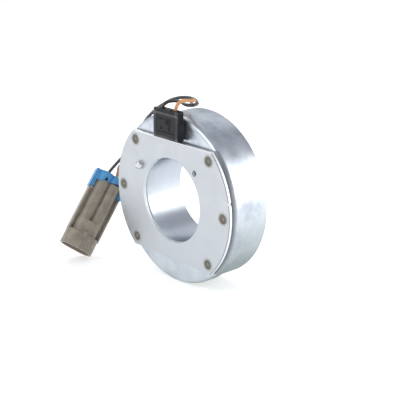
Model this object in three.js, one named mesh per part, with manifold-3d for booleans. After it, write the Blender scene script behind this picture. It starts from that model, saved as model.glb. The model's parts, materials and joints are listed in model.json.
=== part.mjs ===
// Field coil assembly of an electromagnetic clutch: a zinc-plated steel shell with its winding,
// the mounting plate spot-welded to its back, and the two leads with their sealed connector.
// Millimetres, +Z up. The Y axis is the bore axis, y = 0 is the plate's outer face, and the
// open pole face of the shell looks along +Y.
import * as THREE from 'three';
import { mergeVertices } from 'three/addons/utils/BufferGeometryUtils.js';
import Module from 'manifold-3d';

const wasm = await Module();
wasm.setup();

// ---- driving dimensions ----

const GAP = 0.3; // between pieces that touch
const WELD_TOLERANCE = 1e-4; // for merging shared vertices
const OVERCUT = 1; // how far a cutter runs past the face that it opens
const ROUND_SEGMENTS = 72; // around the steel parts
const COIL_SEGMENTS = 48; // around the winding's parts
const SMALL_SEGMENTS = 16; // around pins, welds and holes
const SHOULDER_STEPS = 6; // along the shell's rounded shoulder
const FILLET_STEPS = 3; // along a small rounded edge
const CROWN_STEPS = 5; // along the locating pin's dome
const CORNER_SEGMENTS = 3; // around a slab's corner
const BARREL_SEGMENTS = 6; // around each end of a barrel
const SHROUD_SEGMENTS = 8; // around each end of the connector's oval

const BORE_RADIUS = 25.5;
const PLATE_RADIUS = 50.5;
const PLATE_THICKNESS = 2.3;
const PLATE_HALF_HEIGHT = 36.7;
const PLATE_NICK = { angle: 11, width: 1.4, depth: 0.6 };
const PLATE_HOLE = { x: 20.5, z: 21.2, radius: 1.75 };

const SHELL = {
  back: PLATE_THICKNESS + GAP,
  front: 29.6,
  radius: 50.7,
  wall: 3.2,
  backWall: 4,
  flangeRadius: 51.6,
  flangeEnd: 11,
  shoulder: 3,
  boreRound: 0.5,
  edge: 0.5,
};
const CHANNEL = {
  inner: BORE_RADIUS + SHELL.wall,
  outer: SHELL.radius - SHELL.wall,
  floor: SHELL.back + SHELL.backWall,
};

const SPOT_WELD = {
  circle: 45,
  angles: [0, 43.5, 136.5, 180, 223.5, 316.5],
  radius: 3.2,
  depth: 1.4,
  dimple: 0.4,
  dimpleRadius: 1.6,
  rim: 0.1,
};
const LOCATING_PIN = { x: -28, z: 16, headRadius: 2.7, headHeight: 2.6, shankRadius: 1.6 };

const BOBBIN = { hub: 1.5, flange: 1.3, front: 26.2 };
const WINDING = { outer: 45.4, bulge: 0.5 };
const TAPE_THICKNESS = 0.5;
const POTTING_FRONT = 28.9;

// A coil tail's way points: how far outwards from the hole, y, and how far above the hole.
const TAIL = {
  radius: 0.6,
  x: 2.5,
  z: 43,
  steps: 16,
  way: [[0, 4, 0], [0, 1.2, 0], [0.5, -0.5, 0.1], [1.9, -1, 0.6], [3.3, -1, 2], [3.5, -1, 4.4]],
};
const WINDOW = { halfWidth: 5.5, low: 39.5, high: 46.5 };

const BLOCK = {
  halfWidth: 10.45,
  bottom: 38,
  top: 55.5,
  front: -4,
  slabBack: 1.3,
  bossBack: 2.3,
  bossTop: 49.5,
  bossHalfWidth: 10.2,
  coverThickness: 1.5,
  round: 0.8,
};
const BLOCK_PANEL = { inset: 1.5, depth: 0.4, high: 52 };
const BLOCK_COVER = { recess: 0.5, collarRadius: 2.2, overlap: 0.2, lip: 1 };
const BLOCK_CAVITY = { halfWidth: 9, low: 40, front: -2.8, back: 0.8 };

const LEAD = { radius: 1.05, x: 6, y: -1, sides: 8, steps: 84 };
const SPLICE = { radius: 1.65, low: 44.6, high: 50.4 };
const DIODE = { radius: 1.4, halfLength: 2.6, pinRadius: 0.4, pinReach: 4, z: 51.2 };

// The connector's own axes: x across its width, z from its mouth towards its rear.
const CONNECTOR = {
  mouth: new THREE.Vector3(-68.5, -21.9, -44.5),
  rearward: new THREE.Vector3(-0.1, 0.654, 0.75),
  across: new THREE.Vector3(0.491, 0.688, -0.534),
};
const HOUSING = {
  halfWidth: 11,
  halfDepth: 7.7,
  wall: 1.4,
  shroudLength: 10.3,
  mouthDepth: 8.9,
  throatDepth: 17,
  collarHalfWidth: 8.8,
  collarHalfDepth: 6.9,
  collarEnd: 19.4,
  rear: 47.5,
  pitch: 7.8,
  barrelRadius: 4.05,
  barrelHalfDepth: 6.2,
  railInner: 9.7,
  railHalfDepth: 3.3,
  railEnd: 40.2,
  webHalfDepth: 1.5,
  neckHalfWidth: 8.4,
  neckHalfDepth: 2.6,
};
const NIB = { x: 0, width: 2.8, low: 8, high: 11.4, height: 1.2 };
const NIB_RIB = { x: 0.9, width: 0.6, height: 0.5, spacing: 2.1 };
const SEAL = { radius: 3, low: 41.4, ridge: 0.35, ridges: 3, seat: 3.3 };
const PIN = {
  tip: 4,
  bladeWidth: 1.5,
  bladeThickness: 0.8,
  shank: 17,
  radius: 1.4,
  rear: 39.7,
  bore: 1.9,
};
const LOCK = {
  low: 46,
  plateLow: 51.3,
  top: 52.9,
  wall: 0.7,
  halfWidth: 11.6,
  halfDepth: 3.6,
  windowHalfWidth: 8.3,
  windowHalfDepth: 3.9,
  armLow: 40.5,
  armInner: 8.9,
};
// What is cut away from the lock's lower edge, as x and z: a notch and a slanting relief.
const LOCK_CUTS = [
  [[-5.3, 45], [-1.4, 45], [-3.9, 50.3]],
  [[-2.6, 45], [8.8, 45], [8.8, 48.5], [5, 48.5], [-2.6, 47.1]],
];

// The leads' centre lines, from the splice in the terminal block to the connector's terminals.
const BLACK_ROUTE = [
  [-6, -1, 48.2], [-6, -1, 52.5], [-5.9, -0.9, 55.6], [-5.2, 0.8, 57.8], [-3.8, 3.6, 58.7],
  [-1.4, 5.8, 58.9], [2, 6.4, 58.7], [5.6, 5.4, 58.5], [8.8, 5.2, 58.3], [11.4, 7.2, 58.3],
  [11.2, 10.4, 58.5], [8.5, 13, 58.7], [4.8, 15.4, 58.8], [0.4, 17, 58.9], [-4.6, 16.8, 58.8],
  [-9.4, 15.2, 58.1], [-13.9, 12.9, 56.4], [-19, 11.6, 53.4], [-25, 12, 50],
  [-30.8, 13.2, 46.5], [-37.2, 13.7, 41.5], [-44.6, 15.4, 34.9], [-52, 17.9, 28.2],
  [-59, 19.2, 21.4], [-65, 20.4, 15.2], [-69.7, 20.1, 9.7], [-72.5, 18, 5.6], [-74.5, 15, 1.7],
  [-75.4, 12.4, -1.2], [-75.4, 9.3, -4.1], [-75.2, 6.6, -6.7], [-74.8, 4.2, -9.4],
  [-74.4, 1.5, -12.5],
];
const TAN_ROUTE = [
  [6, -1, 48.2], [6, -1, 52.5], [6.1, -1, 55.6], [6.7, -0.9, 58], [7.9, -0.4, 60],
  [9.7, 0.8, 61.5], [12, 2.2, 62], [13.7, 4.3, 61.9], [13, 7, 61.5], [10, 9, 60.8],
  [6.6, 10.9, 59.4], [3, 13.5, 57.4], [-0.6, 17, 56.3], [-5, 19.7, 57.2], [-9.6, 19.4, 57.6],
  [-14.2, 17.2, 56.7], [-19, 15.3, 54.4], [-25, 15.2, 50.4], [-30.6, 15.9, 45.4],
  [-36.3, 16.2, 39.7], [-43.8, 15.8, 32.2], [-51, 16.8, 25.4], [-57, 18.8, 19.2],
  [-62.2, 20.4, 13], [-66.9, 20.9, 7.5], [-70.4, 19.6, 3.7], [-72.5, 17.7, 1.3],
  [-72.5, 16.5, -2.5], [-72.3, 15.1, -5.8], [-71.8, 13.5, -8.6], [-71.3, 11.5, -11.3],
  [-70.9, 9.3, -13.9], [-70.6, 6.9, -16.6],
];

// ---- finishes ----

const ZINC = { color: 0xcdd4dc, roughness: 0.35, metalness: 0.9 };
const WELD_STEEL = { color: 0x7c7866, roughness: 0.6, metalness: 0.6 };
const BRIGHT_STEEL = { color: 0xd8dadc, roughness: 0.2, metalness: 1 };
const COPPER = { color: 0xb5653a, roughness: 0.4, metalness: 0.9 };
const TINNED = { color: 0xc9c9c4, roughness: 0.3, metalness: 0.9 };
const BLACK_NYLON = { color: 0x303136, roughness: 0.5, metalness: 0 };
const NATURAL_NYLON = { color: 0xd9d2bd, roughness: 0.5, metalness: 0 };
const TAPE = { color: 0xcaa545, roughness: 0.4, metalness: 0 };
const RESIN = { color: 0x1f2a26, roughness: 0.3, metalness: 0 };
const RUBBER = { color: 0x4a4b4d, roughness: 0.8, metalness: 0 };
const SEAL_SILICONE = { color: 0xb4532f, roughness: 0.6, metalness: 0 };
const GREY_PLASTIC = { color: 0x8c8276, roughness: 0.5, metalness: 0 };
const BLUE_PLASTIC = { color: 0x3f8ac8, roughness: 0.45, metalness: 0 };
const BLACK_PVC = { color: 0x1b1b1d, roughness: 0.45, metalness: 0 };
const TAN_PVC = { color: 0xc9905a, roughness: 0.45, metalness: 0 };

// ---- helpers ----

function toSolid(geometry) {
  const bare = geometry.clone();
  bare.deleteAttribute('normal');
  bare.deleteAttribute('uv');
  const merged = mergeVertices(bare, WELD_TOLERANCE);
  const corners = merged.index.array;
  const kept = [];
  for (let i = 0; i < corners.length; i += 3) {
    const [a, b, c] = [corners[i], corners[i + 1], corners[i + 2]];
    if (a !== b && b !== c && c !== a) {
      kept.push(a, b, c);
    }
  }
  const mesh = new wasm.Mesh({
    numProp: 3,
    vertProperties: new Float32Array(merged.attributes.position.array),
    triVerts: new Uint32Array(kept),
  });
  return new wasm.Manifold(mesh);
}

function toGeometry(solid) {
  const { vertProperties, triVerts } = solid.getMesh();
  const geometry = new THREE.BufferGeometry();
  geometry.setAttribute('position', new THREE.BufferAttribute(vertProperties, 3));
  geometry.setIndex(new THREE.BufferAttribute(triVerts, 1));
  geometry.computeVertexNormals();
  return geometry;
}

function joined(...geometries) {
  return geometries.map(toSolid).reduce((sum, solid) => sum.add(solid));
}

function piece(name, geometry, finish) {
  const mesh = new THREE.Mesh(geometry, new THREE.MeshStandardMaterial(finish));
  mesh.name = name;
  return mesh;
}

// A body of revolution about Y. The profile runs anticlockwise, seen with the radius to the
// right and y upwards, and closes on itself or ends on the axis.
function turned(profile, segments) {
  const points = profile.map(([radius, y]) => new THREE.Vector2(radius, y));
  return new THREE.LatheGeometry(points, segments);
}

function band(inner, outer, low, high, segments) {
  const profile = [[inner, low], [outer, low], [outer, high], [inner, high], [inner, low]];
  return turned(profile, segments);
}

function arcPoints(centreRadius, centreY, radius, fromDegrees, toDegrees, count) {
  const points = [];
  for (let i = 0; i <= count; i += 1) {
    const angle = THREE.MathUtils.degToRad(THREE.MathUtils.lerp(fromDegrees, toDegrees, i / count));
    points.push([centreRadius + radius * Math.cos(angle), centreY + radius * Math.sin(angle)]);
  }
  return points;
}

// A round bar along Y through (x, z).
function barAlongY(x, z, radius, low, high, segments = SMALL_SEGMENTS) {
  const bar = new THREE.CylinderGeometry(radius, radius, high - low, segments);
  return bar.translate(x, (low + high) / 2, z);
}

// A round bar along Z through (x, y).
function barAlongZ(x, y, radius, low, high, segments = SMALL_SEGMENTS) {
  const bar = new THREE.CylinderGeometry(radius, radius, high - low, segments);
  return bar.rotateX(Math.PI / 2).translate(x, y, (low + high) / 2);
}

function box(x0, x1, y0, y1, z0, z1) {
  const block = new THREE.BoxGeometry(x1 - x0, y1 - y0, z1 - z0);
  return block.translate((x0 + x1) / 2, (y0 + y1) / 2, (z0 + z1) / 2);
}

// A shape in XY, raised along Z.
function raised(shape, low, high, curveSegments) {
  const options = { depth: high - low, bevelEnabled: false, curveSegments };
  return new THREE.ExtrudeGeometry(shape, options).translate(0, 0, low);
}

function roundedRectangle(halfWidth, halfHeight, radius) {
  const shape = new THREE.Shape();
  const x = halfWidth - radius;
  const y = halfHeight - radius;
  shape.absarc(x, y, radius, 0, Math.PI / 2, false);
  shape.absarc(-x, y, radius, Math.PI / 2, Math.PI, false);
  shape.absarc(-x, -y, radius, Math.PI, 1.5 * Math.PI, false);
  shape.absarc(x, -y, radius, 1.5 * Math.PI, 2 * Math.PI, false);
  shape.closePath();
  return shape;
}

function tube(route, radius, steps) {
  const points = route.map(([x, y, z]) => new THREE.Vector3(x, y, z));
  const section = new THREE.Shape();
  section.absarc(0, 0, radius, 0, 2 * Math.PI, false);
  return new THREE.ExtrudeGeometry(section, {
    steps,
    curveSegments: LEAD.sides / 2,
    extrudePath: new THREE.CatmullRomCurve3(points, false, 'centripetal'),
  });
}

function onWeldCircle(degrees) {
  const angle = THREE.MathUtils.degToRad(degrees);
  return [SPOT_WELD.circle * Math.cos(angle), SPOT_WELD.circle * Math.sin(angle)];
}

// ---- steel parts ----

function mountingPlate() {
  const reach = Math.asin(PLATE_HALF_HEIGHT / PLATE_RADIUS);
  const outline = new THREE.Shape();
  outline.absarc(0, 0, PLATE_RADIUS, -reach, reach, false);
  outline.absarc(0, 0, PLATE_RADIUS, Math.PI - reach, Math.PI + reach, false);
  outline.closePath();
  const bore = new THREE.Path();
  bore.absarc(0, 0, BORE_RADIUS, 0, 2 * Math.PI, true);
  outline.holes.push(bore);
  const blank = raised(outline, 0, PLATE_THICKNESS, ROUND_SEGMENTS / 2);
  blank.rotateX(Math.PI / 2).translate(0, PLATE_THICKNESS, 0);

  const through = [-OVERCUT, PLATE_THICKNESS + OVERCUT];
  const cutters = SPOT_WELD.angles.map((degrees) => {
    const [x, z] = onWeldCircle(degrees);
    return barAlongY(x, z, SPOT_WELD.radius + GAP, ...through);
  });
  cutters.push(barAlongY(LOCATING_PIN.x, LOCATING_PIN.z, LOCATING_PIN.shankRadius + GAP, ...through));
  cutters.push(barAlongY(PLATE_HOLE.x, PLATE_HOLE.z, PLATE_HOLE.radius, ...through));
  const half = PLATE_NICK.width / 2;
  const nick = box(PLATE_RADIUS - PLATE_NICK.depth, PLATE_RADIUS + OVERCUT, ...through, -half, half);
  cutters.push(nick.rotateY(-THREE.MathUtils.degToRad(PLATE_NICK.angle)));
  return toGeometry(toSolid(blank).subtract(joined(...cutters)));
}

function fieldShell() {
  const { back, front, radius, flangeRadius, flangeEnd, shoulder, boreRound, edge } = SHELL;
  const outer = flangeRadius - shoulder;
  const profile = [
    ...arcPoints(outer, back + shoulder, shoulder, -90, 0, SHOULDER_STEPS),
    [flangeRadius, flangeEnd],
    [radius, flangeEnd],
    [radius, front - edge],
    [radius - edge, front],
    [CHANNEL.outer, front],
    [CHANNEL.outer, CHANNEL.floor],
    [CHANNEL.inner, CHANNEL.floor],
    [CHANNEL.inner, front],
    [BORE_RADIUS + edge, front],
    [BORE_RADIUS, front - edge],
    ...arcPoints(BORE_RADIUS + boreRound, back + boreRound, boreRound, 180, 270, FILLET_STEPS),
  ];
  profile.push(profile[0]);
  const { halfWidth, low, high } = WINDOW;
  const cutters = SPOT_WELD.angles.map((degrees) => {
    const [x, z] = onWeldCircle(degrees);
    const pocket = back + SPOT_WELD.depth + GAP;
    return barAlongY(x, z, SPOT_WELD.radius + GAP, back - OVERCUT, pocket);
  });
  cutters.push(box(-halfWidth, halfWidth, back - OVERCUT, CHANNEL.floor + OVERCUT, low, high));
  return toGeometry(toSolid(turned(profile, ROUND_SEGMENTS)).subtract(joined(...cutters)));
}

function spotWeld(degrees) {
  const [x, z] = onWeldCircle(degrees);
  const { radius, depth, dimple, dimpleRadius, rim } = SPOT_WELD;
  const root = SHELL.back + depth;
  const profile = [[0, dimple], [dimpleRadius, dimple], [radius, rim], [radius, root], [0, root]];
  return turned(profile, SMALL_SEGMENTS).translate(x, 0, z);
}

function locatingPin() {
  const { x, z, headRadius, headHeight, shankRadius } = LOCATING_PIN;
  const cheek = headHeight - headRadius * Math.SQRT1_2;
  const crown = arcPoints(0, -cheek, headRadius, -90, 0, CROWN_STEPS);
  crown[0] = [0, -cheek - headRadius];
  const shank = [[shankRadius, -GAP], [shankRadius, PLATE_THICKNESS], [0, PLATE_THICKNESS]];
  const profile = [...crown, [headRadius, -GAP], ...shank];
  return turned(profile, SMALL_SEGMENTS).translate(x, 0, z);
}

// ---- winding ----

function bobbin() {
  const inner = CHANNEL.inner + GAP;
  const outer = CHANNEL.outer - GAP;
  const back = CHANNEL.floor + GAP;
  const hub = inner + BOBBIN.hub;
  const profile = [
    [inner, back], [outer, back], [outer, back + BOBBIN.flange], [hub, back + BOBBIN.flange],
    [hub, BOBBIN.front - BOBBIN.flange], [outer, BOBBIN.front - BOBBIN.flange],
    [outer, BOBBIN.front], [inner, BOBBIN.front], [inner, back],
  ];
  const reach = [back - OVERCUT, back + BOBBIN.flange + OVERCUT];
  const tailHoles = [-TAIL.x, TAIL.x].map((x) => barAlongY(x, TAIL.z, TAIL.radius + GAP, ...reach));
  return toGeometry(toSolid(turned(profile, COIL_SEGMENTS)).subtract(joined(...tailHoles)));
}

function windingSpan() {
  const back = CHANNEL.floor + GAP + BOBBIN.flange + GAP;
  const front = BOBBIN.front - BOBBIN.flange - GAP;
  return [back, front];
}

function winding() {
  const [back, front] = windingSpan();
  const inner = CHANNEL.inner + GAP + BOBBIN.hub + GAP;
  const { outer, bulge } = WINDING;
  const profile = [
    [inner, back], [outer - bulge, back], [outer, back + bulge],
    [outer, front - bulge], [outer - bulge, front], [inner, front], [inner, back],
  ];
  return turned(profile, COIL_SEGMENTS);
}

function windingTape() {
  const [back, front] = windingSpan();
  const inner = WINDING.outer + GAP;
  return band(inner, inner + TAPE_THICKNESS, back, front, COIL_SEGMENTS);
}

function pottingResin() {
  return band(CHANNEL.inner + GAP, CHANNEL.outer - GAP, BOBBIN.front + GAP, POTTING_FRONT, COIL_SEGMENTS);
}

function coilTail(side) {
  const [back] = windingSpan();
  const start = [0, back - GAP, 0];
  const route = [start, ...TAIL.way].map(([outwards, y, up]) => {
    return [side * (TAIL.x + outwards), y, TAIL.z + up];
  });
  return tube(route, TAIL.radius, TAIL.steps);
}

// ---- terminal block ----

function windowGrommet() {
  const { halfWidth, low, high } = WINDOW;
  const x = halfWidth - GAP;
  const body = box(-x, x, SHELL.back + GAP, CHANNEL.floor, low + GAP, high - GAP);
  const holes = [-TAIL.x, TAIL.x].map((centre) => {
    return barAlongY(centre, TAIL.z, TAIL.radius + GAP, 0, CHANNEL.floor + OVERCUT);
  });
  return toGeometry(toSolid(body).subtract(joined(...holes)));
}

function uprightSlab(halfWidth, front, back, low, high, round) {
  const outline = roundedRectangle(halfWidth, (high - low) / 2, round);
  const slab = raised(outline, 0, back - front, CORNER_SEGMENTS);
  return slab.rotateX(Math.PI / 2).translate(0, back, (low + high) / 2);
}

function terminalBlockBody() {
  const { halfWidth, bottom, top, front, slabBack, bossBack, bossTop, bossHalfWidth, round } = BLOCK;
  const high = top - BLOCK.coverThickness - GAP;
  const slab = uprightSlab(halfWidth, front, slabBack, bottom, high, round);
  const boss = uprightSlab(bossHalfWidth, slabBack - OVERCUT, bossBack, bottom + round, bossTop, round);
  const inset = halfWidth - BLOCK_PANEL.inset;
  const panelDepth = front + BLOCK_PANEL.depth;
  const panelLow = bottom + BLOCK_PANEL.inset;
  const panel = box(-inset, inset, front - OVERCUT, panelDepth, panelLow, BLOCK_PANEL.high);
  const cavity = BLOCK_CAVITY;
  const hollow = box(-cavity.halfWidth, cavity.halfWidth, cavity.front, cavity.back, cavity.low, top);
  const holes = [-TAIL.x, TAIL.x].map((x) => {
    return barAlongY(x, TAIL.z, TAIL.radius + GAP, cavity.back - OVERCUT, bossBack + OVERCUT);
  });
  return toGeometry(joined(slab, boss).subtract(joined(panel, hollow, ...holes)));
}

function terminalBlockCover() {
  const { halfWidth, top, front, slabBack, coverThickness } = BLOCK;
  const { recess, collarRadius, overlap, lip } = BLOCK_COVER;
  const low = top - coverThickness;
  const plate = box(-halfWidth, halfWidth, front, slabBack, low, top - recess);
  const collars = [-LEAD.x, LEAD.x].map((x) => barAlongZ(x, LEAD.y, collarRadius, low + overlap, top));
  const rim = box(-halfWidth + lip, halfWidth - lip, front, front + lip, low + overlap, top);
  const holes = [-LEAD.x, LEAD.x].map((x) => {
    return barAlongZ(x, LEAD.y, LEAD.radius + GAP, low - OVERCUT, top + OVERCUT);
  });
  return toGeometry(joined(plate, rim, ...collars).subtract(joined(...holes)));
}

function spliceSleeve(side) {
  const { radius, low, high } = SPLICE;
  const sleeve = band(LEAD.radius + GAP, radius, low, high, SMALL_SEGMENTS);
  return sleeve.rotateX(Math.PI / 2).translate(side * LEAD.x, LEAD.y, 0);
}

function suppressionDiode() {
  const { radius, halfLength, pinRadius, pinReach, z } = DIODE;
  const profile = [
    [0, -pinReach], [pinRadius, -pinReach], [pinRadius, -halfLength], [radius, -halfLength],
    [radius, halfLength], [pinRadius, halfLength], [pinRadius, pinReach], [0, pinReach],
  ];
  return turned(profile, SMALL_SEGMENTS).rotateZ(Math.PI / 2).translate(0, LEAD.y, z);
}

// ---- connector, in its own axes ----

// From one distance to another on one side of the middle, in ascending order.
function sideSpan(side, inner, outer) {
  return side > 0 ? [inner, outer] : [-outer, -inner];
}

function barrelOutline(side, radius, halfDepth) {
  const shape = new THREE.Shape();
  const x = side * HOUSING.pitch / 2;
  const y = halfDepth - radius;
  shape.absarc(x, y, radius, 0, Math.PI, false);
  shape.absarc(x, -y, radius, Math.PI, 2 * Math.PI, false);
  shape.closePath();
  return shape;
}

function barrels(radius, halfDepth, low, high) {
  return [-1, 1].map((side) => raised(barrelOutline(side, radius, halfDepth), low, high, BARREL_SEGMENTS));
}

function latchNib() {
  const { halfDepth, wall } = HOUSING;
  const { x, width, low, high, height } = NIB;
  const root = -wall - OVERCUT;
  const nib = box(x - width / 2, x + width / 2, -halfDepth - height, root, low, high);
  const ribs = [-1, 1].map((side) => {
    const centre = NIB_RIB.x + side * NIB_RIB.spacing / 2;
    const half = NIB_RIB.width / 2;
    return box(centre - half, centre + half, -halfDepth - NIB_RIB.height, root, GAP, low + OVERCUT);
  });
  return [nib, ...ribs];
}

function connectorHousing() {
  const h = HOUSING;
  const joint = h.shroudLength - OVERCUT;
  const oval = roundedRectangle(h.halfWidth, h.halfDepth, h.halfDepth);
  const shroud = raised(oval, 0, h.shroudLength, SHROUD_SEGMENTS);
  const collarOval = roundedRectangle(h.collarHalfWidth, h.collarHalfDepth, h.collarHalfDepth);
  const collar = raised(collarOval, joint, h.collarEnd, SHROUD_SEGMENTS);
  const rails = [-1, 1].map((side) => {
    const [near, far] = sideSpan(side, h.railInner, h.halfWidth);
    return box(near, far, -h.railHalfDepth, h.railHalfDepth, joint, h.railEnd);
  });
  const webReach = h.railInner + GAP;
  const web = box(-webReach, webReach, -h.webHalfDepth, h.webHalfDepth, joint, h.railEnd - GAP);
  const neckLow = h.railEnd - OVERCUT;
  const neck = box(-h.neckHalfWidth, h.neckHalfWidth, -h.neckHalfDepth, h.neckHalfDepth, neckLow, h.rear);
  const bodies = barrels(h.barrelRadius, h.barrelHalfDepth, h.collarEnd - OVERCUT, h.rear);

  const inner = roundedRectangle(h.halfWidth - h.wall, h.halfDepth - h.wall, h.halfDepth - h.wall);
  const mouth = raised(inner, -OVERCUT, h.mouthDepth, SHROUD_SEGMENTS);
  const throatDepth = h.collarHalfDepth - h.wall;
  const throatOval = roundedRectangle(h.collarHalfWidth - h.wall, throatDepth, throatDepth);
  const throat = raised(throatOval, h.mouthDepth - OVERCUT, h.throatDepth, SHROUD_SEGMENTS);
  const bores = [-1, 1].flatMap((side) => {
    const x = side * h.pitch / 2;
    return [
      barAlongZ(x, 0, PIN.bore, h.throatDepth - OVERCUT, SEAL.low),
      barAlongZ(x, 0, SEAL.seat, SEAL.low - GAP, h.rear + OVERCUT),
    ];
  });
  const outside = joined(shroud, collar, ...rails, web, neck, ...latchNib(), ...bodies);
  return toGeometry(outside.subtract(joined(mouth, throat, ...bores)));
}

function outlineOf(corners) {
  const shape = new THREE.Shape();
  corners.forEach(([x, y], i) => (i === 0 ? shape.moveTo(x, y) : shape.lineTo(x, y)));
  shape.closePath();
  return shape;
}

function secondaryLock() {
  const k = LOCK;
  const h = HOUSING;
  const reach = h.barrelRadius + GAP;
  const depth = h.barrelHalfDepth + GAP;
  const skins = barrels(reach + k.wall, depth + k.wall, k.low, k.top);
  const slab = box(-k.halfWidth, k.halfWidth, -k.halfDepth, k.halfDepth, k.low, k.top);
  const arms = [-1, 1].map((side) => {
    const [near, far] = sideSpan(side, k.armInner, k.halfWidth);
    return box(near, far, -k.halfDepth, k.halfDepth, k.armLow, k.plateLow);
  });

  const hollows = barrels(reach, depth, k.low - OVERCUT, k.plateLow);
  const neckReach = h.neckHalfWidth + GAP;
  const neckDepth = h.neckHalfDepth + GAP;
  const neck = box(-neckReach, neckReach, -neckDepth, neckDepth, k.low - OVERCUT, k.plateLow);
  const windowOutline = roundedRectangle(k.windowHalfWidth, k.windowHalfDepth, k.windowHalfDepth);
  const window = raised(windowOutline, k.plateLow - OVERCUT, k.top + OVERCUT, BARREL_SEGMENTS);
  const past = h.halfDepth + OVERCUT;
  const cuts = LOCK_CUTS.map((corners) => raised(outlineOf(corners), -past, past, 1).rotateX(Math.PI / 2));
  return toGeometry(joined(slab, ...skins, ...arms).subtract(joined(neck, window, ...cuts, ...hollows)));
}

function terminalPin(side) {
  const x = side * HOUSING.pitch / 2;
  const halfWidth = PIN.bladeWidth / 2;
  const halfThickness = PIN.bladeThickness / 2;
  const bladeEnd = PIN.shank + OVERCUT;
  const blade = box(x - halfWidth, x + halfWidth, -halfThickness, halfThickness, PIN.tip, bladeEnd);
  const shank = barAlongZ(x, 0, PIN.radius, PIN.shank, PIN.rear);
  return toGeometry(joined(blade, shank));
}

function wireSeal(side) {
  const { radius, low, ridge, ridges } = SEAL;
  const high = HOUSING.rear - GAP;
  const inner = LEAD.radius + GAP;
  const pitch = (high - low) / ridges;
  const profile = [[inner, low]];
  for (let i = 0; i < ridges; i += 1) {
    const start = low + i * pitch;
    profile.push([radius - ridge, start], [radius, start + pitch / 3], [radius, start + pitch * 2 / 3]);
  }
  profile.push([radius - ridge, high], [inner, high], [inner, low]);
  return turned(profile, SMALL_SEGMENTS).rotateX(Math.PI / 2).translate(side * HOUSING.pitch / 2, 0, 0);
}

// ---- assembly ----

function connectorGroup() {
  const z = CONNECTOR.rearward.clone().normalize();
  const x = CONNECTOR.across.clone().addScaledVector(z, -CONNECTOR.across.dot(z)).normalize();
  const y = new THREE.Vector3().crossVectors(z, x);
  const group = new THREE.Group();
  group.setRotationFromMatrix(new THREE.Matrix4().makeBasis(x, y, z));
  group.position.copy(CONNECTOR.mouth);
  group.add(
    piece('connector_housing', connectorHousing(), GREY_PLASTIC),
    piece('secondary_lock', secondaryLock(), BLUE_PLASTIC),
    piece('terminal_pin_1', terminalPin(-1), TINNED),
    piece('terminal_pin_2', terminalPin(1), TINNED),
    piece('wire_seal_1', wireSeal(-1), SEAL_SILICONE),
    piece('wire_seal_2', wireSeal(1), SEAL_SILICONE),
  );
  return group;
}

const fieldCoil = new THREE.Group();
fieldCoil.add(
  piece('field_shell', fieldShell(), ZINC),
  piece('mounting_plate', mountingPlate(), ZINC),
  piece('locating_pin', locatingPin(), BRIGHT_STEEL),
  piece('bobbin', bobbin(), NATURAL_NYLON),
  piece('winding', winding(), COPPER),
  piece('winding_tape', windingTape(), TAPE),
  piece('potting_resin', pottingResin(), RESIN),
  piece('coil_tail_1', coilTail(-1), COPPER),
  piece('coil_tail_2', coilTail(1), COPPER),
  piece('window_grommet', windowGrommet(), RUBBER),
  piece('terminal_block_body', terminalBlockBody(), BLACK_NYLON),
  piece('terminal_block_cover', terminalBlockCover(), BLACK_NYLON),
  piece('splice_sleeve_1', spliceSleeve(-1), TINNED),
  piece('splice_sleeve_2', spliceSleeve(1), TINNED),
  piece('suppression_diode', suppressionDiode(), BLACK_NYLON),
  piece('lead_black', tube(BLACK_ROUTE, LEAD.radius, LEAD.steps), BLACK_PVC),
  piece('lead_tan', tube(TAN_ROUTE, LEAD.radius, LEAD.steps), TAN_PVC),
  connectorGroup(),
);
SPOT_WELD.angles.forEach((degrees, i) => {
  fieldCoil.add(piece(`spot_weld_${i + 1}`, spotWeld(degrees), WELD_STEEL));
});

export default fieldCoil;
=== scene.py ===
"""The field coil of an electromagnetic clutch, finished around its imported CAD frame.

Metres, +Z up, the bore axis along Y. Shapes are written in millimetres and scaled by MM; only
the leads' routes and the studio are written in metres. The connector's pieces are made in its
own axes: x across, y through its depth, z from its mouth towards its rear.
"""
import json
import math

import bmesh
import bpy
from mathutils import Matrix, Vector


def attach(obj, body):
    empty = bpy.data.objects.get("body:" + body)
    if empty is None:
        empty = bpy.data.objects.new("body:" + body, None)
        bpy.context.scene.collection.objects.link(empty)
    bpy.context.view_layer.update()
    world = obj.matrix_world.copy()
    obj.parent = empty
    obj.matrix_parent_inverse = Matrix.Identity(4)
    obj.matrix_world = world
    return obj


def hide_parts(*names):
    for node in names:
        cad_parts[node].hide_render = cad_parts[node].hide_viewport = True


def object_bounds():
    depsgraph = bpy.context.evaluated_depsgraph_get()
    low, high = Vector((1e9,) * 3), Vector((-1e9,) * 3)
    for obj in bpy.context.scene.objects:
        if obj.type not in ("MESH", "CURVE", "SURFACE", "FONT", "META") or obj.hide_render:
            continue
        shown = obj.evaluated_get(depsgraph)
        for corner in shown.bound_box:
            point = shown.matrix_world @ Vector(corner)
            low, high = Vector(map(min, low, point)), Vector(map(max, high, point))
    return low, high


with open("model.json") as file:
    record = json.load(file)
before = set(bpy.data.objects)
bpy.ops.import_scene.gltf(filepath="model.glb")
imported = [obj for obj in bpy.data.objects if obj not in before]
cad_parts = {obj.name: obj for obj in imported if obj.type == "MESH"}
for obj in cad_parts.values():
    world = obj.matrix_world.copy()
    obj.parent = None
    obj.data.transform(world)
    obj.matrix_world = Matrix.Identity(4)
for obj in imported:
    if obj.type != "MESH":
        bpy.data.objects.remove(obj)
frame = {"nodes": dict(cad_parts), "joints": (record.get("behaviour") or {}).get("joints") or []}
cad_low, cad_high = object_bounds()

# ---- driving dimensions, in millimetres and degrees ----

MM = 0.001
COIL = "coil_assembly"
SLIDER = "lock_slider"

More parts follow.
